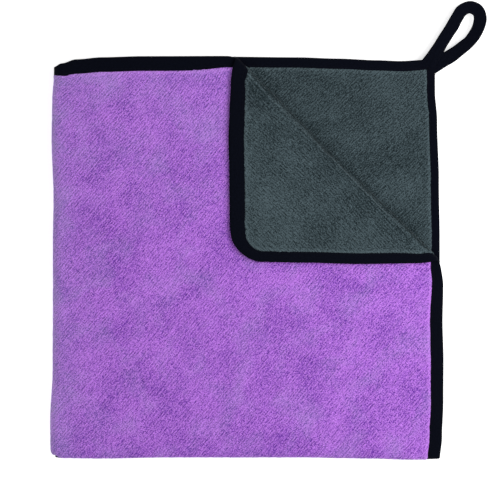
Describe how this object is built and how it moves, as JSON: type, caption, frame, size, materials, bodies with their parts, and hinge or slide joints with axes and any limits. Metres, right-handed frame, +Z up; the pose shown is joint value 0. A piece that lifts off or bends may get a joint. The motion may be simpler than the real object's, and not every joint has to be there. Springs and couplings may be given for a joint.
{
  "type": "quick dry towel",
  "caption": "Double-sided fleece towel, purple outside and grey inside, bound in black tape, folded in quarters with a turned-down corner and a hanging loop.",
  "frame": {"origin": "the middle of the folded towel's underside, halfway between its folds and its free edges, on the surface it lies on", "axes": "+Z up through the four layers; -X is the main fold and +X the free side edge; -Y is the cross fold and +Y the free edge; the hanging loop leaves the +X +Y corner"},
  "size_m": [0.3378, 0.3564, 0.0196],
  "materials": {
    "purple_fleece": "short napped pile, matt with a soft sheen",
    "grey_fleece": "short napped pile, matt",
    "black_binding": "fine knitted tape, matt",
    "black_thread": "spun polyester thread, matt"
  },
  "bodies": {
    "bottom_panel": {"bottom_purple_ply": "purple_fleece", "bottom_grey_ply": "grey_fleece", "bottom_edge_tape": "black_binding", "bottom_seam_thread": "black_thread"},
    "lower_inner_panel": {"lower_inner_purple_ply": "purple_fleece", "lower_inner_grey_ply": "grey_fleece", "lower_inner_edge_tape": "black_binding", "lower_inner_seam_thread": "black_thread"},
    "upper_inner_panel": {"upper_inner_purple_ply": "purple_fleece", "upper_inner_grey_ply": "grey_fleece", "upper_inner_edge_tape": "black_binding", "upper_inner_seam_thread": "black_thread", "loop_sewn_ends": "black_binding", "loop_bar_tack": "black_thread"},
    "top_panel": {"top_purple_ply": "purple_fleece", "top_grey_ply": "grey_fleece", "top_edge_tape": "black_binding", "top_seam_thread": "black_thread"},
    "corner_flap": {"flap_purple_ply": "purple_fleece", "flap_grey_ply": "grey_fleece", "flap_edge_tape": "black_binding", "flap_seam_thread": "black_thread"},
    "hanging_loop": {"hanging_loop": "black_binding"}
  },
  "joints": [
    {"name": "cross_fold_lower", "type": "hinge", "parent": "bottom_panel", "child": "lower_inner_panel", "pos_m": [0, -0.155, 0.0038], "axis": [1, 0, 0], "range_deg": [0, 178.5]},
    {"name": "main_fold", "type": "hinge", "parent": "lower_inner_panel", "child": "upper_inner_panel", "pos_m": [-0.15, 0, 0.0078], "axis": [0, -1, 0], "range_deg": [0, 180]},
    {"name": "cross_fold_upper", "type": "hinge", "parent": "upper_inner_panel", "child": "top_panel", "pos_m": [0, -0.155, 0.0118], "axis": [1, 0, 0], "range_deg": [0, 178.5]},
    {"name": "corner_fold", "type": "hinge", "parent": "top_panel", "child": "corner_flap", "pos_m": [0.0735, 0.0735, 0.0158], "axis": [-0.7071, 0.7071, 0], "range_deg": [0, 180]},
    {"name": "loop_swing", "type": "hinge", "parent": "upper_inner_panel", "child": "hanging_loop", "pos_m": [0.15349, 0.15349, 0.0098], "axis": [0.7071, -0.7071, 0], "range_deg": [-90, 90]}
  ],
  "couplings": [
    {"joint": "cross_fold_upper", "follows": "cross_fold_lower", "ratio": 1}
  ]
}
